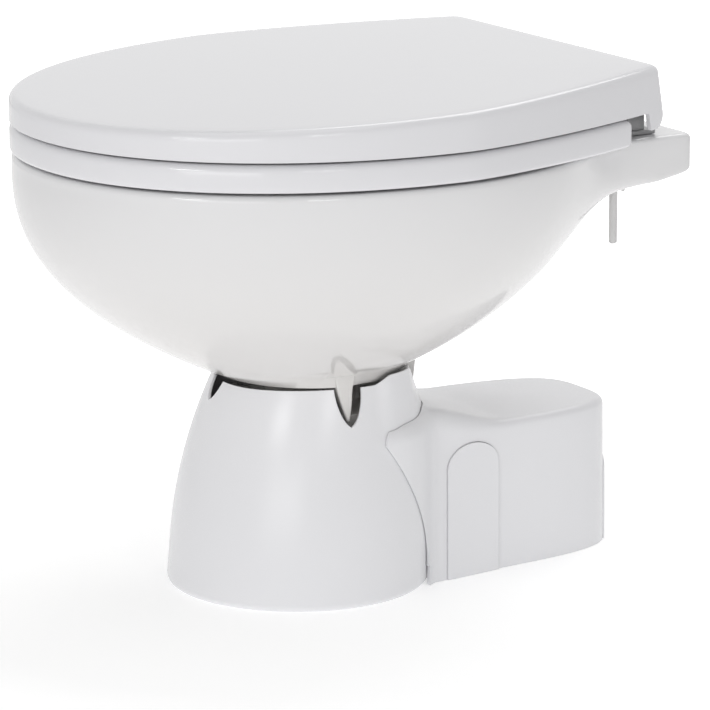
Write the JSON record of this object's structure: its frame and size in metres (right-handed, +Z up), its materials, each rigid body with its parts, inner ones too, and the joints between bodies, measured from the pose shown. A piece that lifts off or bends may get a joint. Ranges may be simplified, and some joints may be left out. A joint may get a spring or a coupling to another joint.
{
  "type": "electric marine toilet",
  "caption": "Electric marine toilet: glazed bowl with hinged seat and lid on a bell pedestal, and a low rear cover over a macerator pump with its motor.",
  "frame": {"origin": "on the underside of the base plate, on the toilet's middle plane, 24 mm behind the pedestal's middle at floor level", "axes": "+Z up, -Y towards the nose of the bowl, +X towards the sitter's left"},
  "size_m": [0.37, 0.4437, 0.3628],
  "materials": {
    "glaze": "glossy white glaze",
    "seat_gloss": "glossy white moulded plastic",
    "shell_plastic": "satin to glossy white moulded plastic",
    "hinge_plastic": "pale grey plastic",
    "bolt_nylon": "pale nylon",
    "dark_plastic": "black glass-filled plastic",
    "rubber": "black rubber",
    "pale_rubber": "pale rubber",
    "steel": "machined stainless steel",
    "motor_paint": "black paint on steel",
    "magnet_grey": "dark grey ferrite",
    "copper": "turned copper",
    "carbon": "pressed carbon"
  },
  "bodies": {
    "toilet_body": {"bowl": "glaze", "pedestal": "shell_plastic", "motor_cover": "shell_plastic", "hose_panel_left": "shell_plastic", "hose_panel_right": "shell_plastic", "hose_panel_rear": "shell_plastic", "hinge_post_left": "hinge_plastic", "hinge_post_right": "hinge_plastic", "hinge_pin_left": "hinge_plastic", "hinge_pin_right": "hinge_plastic", "hinge_bolt_left": "bolt_nylon", "hinge_bolt_right": "bolt_nylon", "hinge_wing_nut_left": "bolt_nylon", "hinge_wing_nut_right": "bolt_nylon", "base_plate": "dark_plastic", "pump_housing": "dark_plastic", "pump_volute": "dark_plastic", "outlet_seal": "rubber", "shaft_seal": "rubber", "motor_cradle": "rubber", "discharge_o_ring": "rubber", "inlet_grommet": "rubber", "hinge_washer_left": "pale_rubber", "hinge_washer_right": "pale_rubber", "cutter_plate": "steel", "seal_plate": "steel", "bearing_front": "steel", "bearing_rear": "steel", "bowl_bolt_1": "steel", "bowl_bolt_2": "steel", "bowl_bolt_3": "steel", "bowl_bolt_4": "steel", "bowl_nut_1": "steel", "bowl_nut_2": "steel", "bowl_nut_3": "steel", "bowl_nut_4": "steel", "motor_can": "motor_paint", "motor_end_cap": "motor_paint", "magnet_bottom": "magnet_grey", "magnet_top": "magnet_grey", "brush_left": "carbon", "brush_right": "carbon"},
    "seat": {"seat_ring": "seat_gloss", "seat_bumper_1": "pale_rubber", "seat_bumper_2": "pale_rubber", "seat_bumper_3": "pale_rubber", "seat_bumper_4": "pale_rubber"},
    "lid": {"lid": "seat_gloss", "lid_bumper_1": "pale_rubber", "lid_bumper_2": "pale_rubber"},
    "pump_rotor": {"motor_shaft": "steel", "rotor_core": "steel", "commutator": "copper", "impeller": "dark_plastic", "macerator_blade": "steel"},
    "discharge_outlet": {"discharge_elbow": "dark_plastic", "joker_valve": "rubber"},
    "flush_inlet": {"inlet_elbow": "dark_plastic"}
  },
  "joints": [
    {"name": "seat_hinge", "type": "hinge", "parent": "toilet_body", "child": "seat", "pos_m": [0, 0.1795, 0.335], "axis": [1, 0, 0], "range_deg": [-95, 0]},
    {"name": "lid_hinge", "type": "hinge", "parent": "seat", "child": "lid", "pos_m": [0, 0.1795, 0.335], "axis": [-1, 0, 0], "range_deg": [0, 95]},
    {"name": "pump_spin", "type": "hinge", "parent": "toilet_body", "child": "pump_rotor", "pos_m": [-0.008, 0, 0.0421], "axis": [0, 1, 0], "continuous": true},
    {"name": "discharge_elbow_swivel", "type": "hinge", "parent": "toilet_body", "child": "discharge_outlet", "pos_m": [0.031, 0.0349, 0.0985], "axis": [0, 0, 1], "range_deg": [-5, 90]},
    {"name": "inlet_elbow_swivel", "type": "hinge", "parent": "toilet_body", "child": "flush_inlet", "pos_m": [0, 0.2, 0.245], "axis": [0, -1, 0], "range_deg": [0, 180]}
  ]
}
